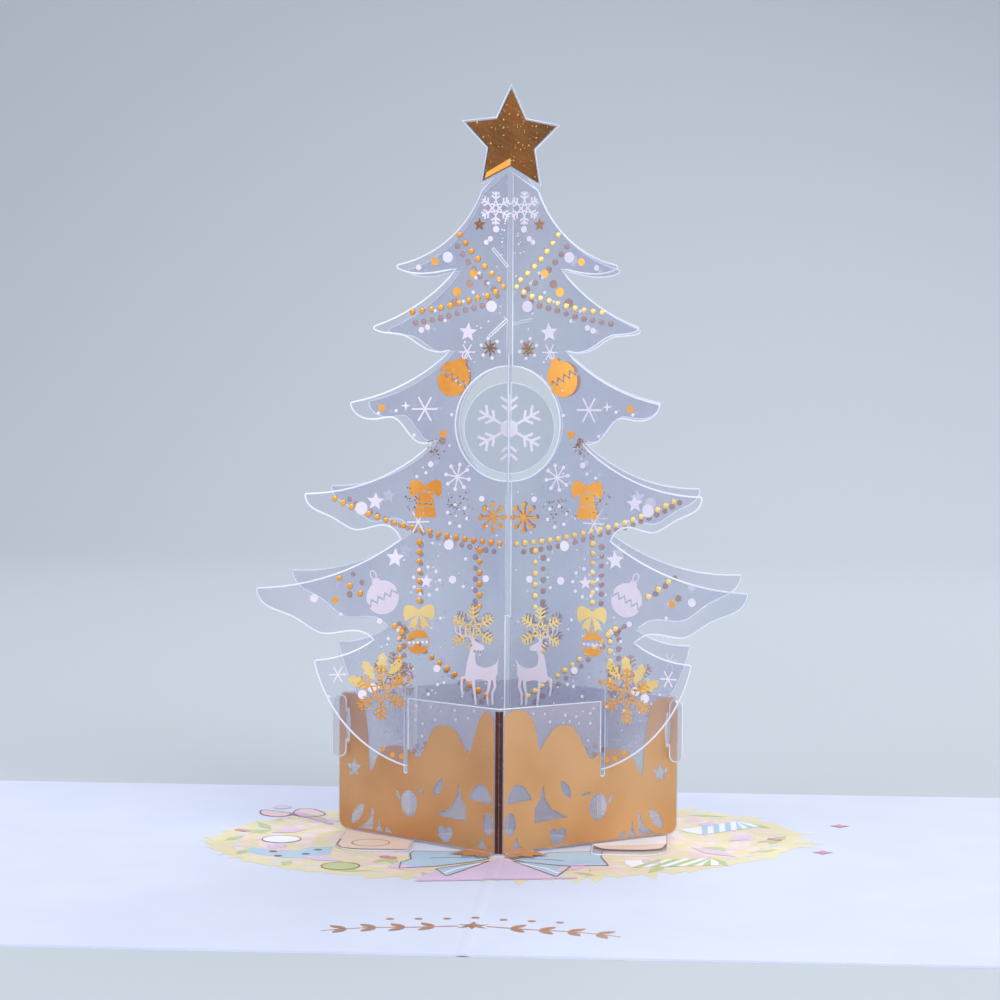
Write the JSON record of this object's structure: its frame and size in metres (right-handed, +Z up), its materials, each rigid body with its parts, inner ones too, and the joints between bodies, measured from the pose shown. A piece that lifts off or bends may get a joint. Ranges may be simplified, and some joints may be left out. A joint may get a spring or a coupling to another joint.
{
  "type": "pop-up greeting card",
  "caption": "Folded greeting card, open flat, that stands up a clear film fir tree with a star, set in a four-sided film box over the fold.",
  "frame": {"origin": "middle of the open card's underside, on the fold", "axes": "+X across the fold to the reader's right, +Y along the fold away from the reader, +Z up"},
  "size_m": [0.4, 0.2, 0.188],
  "materials": {
    "card_stock": "smooth white coated card",
    "clear_film": "clear glossy film with a blue-grey cast",
    "gold_foil": "hot-stamped gold foil",
    "white_ink": "opaque white screen print",
    "pastel_ink": "flat pastel print on card"
  },
  "bodies": {
    "root": {"card": "card_stock", "front_wall": "clear_film", "back_wall": "clear_film", "star_film": "clear_film", "cross_film": "clear_film", "ornament_disc": "clear_film", "ornament_strip": "clear_film"}
  },
  "joints": []
}
